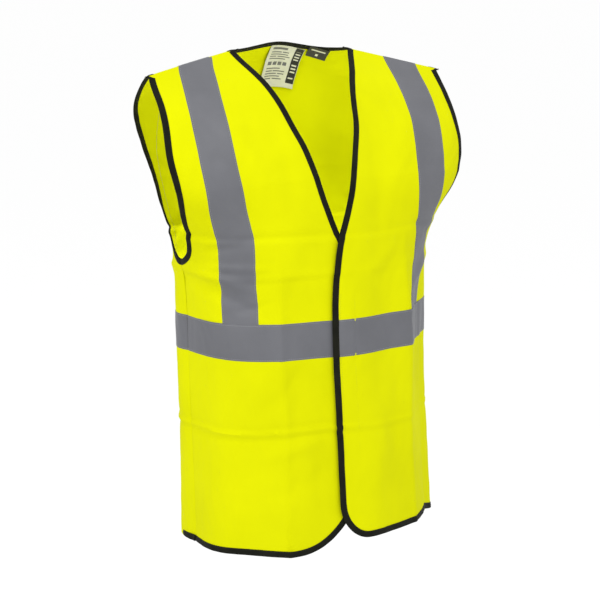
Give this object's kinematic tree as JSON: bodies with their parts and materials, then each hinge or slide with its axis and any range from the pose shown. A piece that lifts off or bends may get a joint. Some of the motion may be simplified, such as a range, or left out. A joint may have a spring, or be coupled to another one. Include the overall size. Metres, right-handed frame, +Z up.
{
  "type": "high visibility vest",
  "caption": "Sleeveless high visibility safety vest in fluorescent knit with grey reflective tapes over the shoulders and around the waist, dark bound edges and a hook and loop front closure.",
  "frame": {"origin": "midway between the two points where the shoulder seams meet the neckline", "axes": "+Z up, the front faces -Y, +X is the wearer's left"},
  "size_m": [0.4682, 0.2842, 0.6937],
  "materials": {
    "cloth": "fluorescent yellow matt warp knit",
    "tape": "grey retroreflective tape, satin",
    "binding": "black folded binding tape, matt",
    "strip": "yellow hook and loop strip, matt",
    "care_label": "off-white printed satin label",
    "size_label": "black woven label"
  },
  "bodies": {
    "vest": {"back_panel": "cloth", "right_front_panel": "cloth", "left_front_panel": "cloth", "right_front_brace_tape": "tape", "left_front_brace_tape": "tape", "right_back_brace_tape": "tape", "left_back_brace_tape": "tape", "back_band": "tape", "right_side_band": "tape", "left_side_band": "tape", "back_neck_binding": "binding", "right_neck_binding": "binding", "left_neck_binding": "binding", "right_armhole_binding": "binding", "left_armhole_binding": "binding", "right_hem_binding": "binding", "left_hem_binding": "binding", "back_hem_binding": "binding", "right_shoulder_seam": "cloth", "left_shoulder_seam": "cloth", "right_side_seam": "cloth", "left_side_seam": "cloth"},
    "left_front": {"left_front_flap": "cloth", "left_front_band": "tape", "left_front_edge_binding": "binding", "hook_strip": "strip"},
    "right_front": {"right_front_flap": "cloth", "right_front_band": "tape", "right_front_edge_binding": "binding", "loop_strip": "strip"},
    "care_label": {"care_label": "care_label"},
    "size_label": {"size_label": "size_label"}
  },
  "joints": [
    {"name": "left_front_opens", "type": "hinge", "parent": "vest", "child": "left_front", "pos_m": [0.0815, -0.1625, -0.4415], "axis": [-0.2354, 0.0221, 0.9717], "range_deg": [0, 110]},
    {"name": "right_front_opens", "type": "hinge", "parent": "vest", "child": "right_front", "pos_m": [-0.063, -0.168, -0.454], "axis": [-0.2009, -0.0406, -0.9788], "range_deg": [0, 66]},
    {"name": "care_label_lifts", "type": "hinge", "parent": "vest", "child": "care_label", "pos_m": [0.0175, 0.0394, -0.0009], "axis": [-0.9975, 0.01, 0.07], "range_deg": [0, 60]},
    {"name": "size_label_lifts", "type": "hinge", "parent": "vest", "child": "size_label", "pos_m": [0.061, 0.0316, -0.0074], "axis": [-0.9611, 0.068, 0.2675], "range_deg": [0, 60]}
  ],
  "couplings": [
    {"joint": "right_front_opens", "follows": "left_front_opens", "ratio": 0.6}
  ]
}
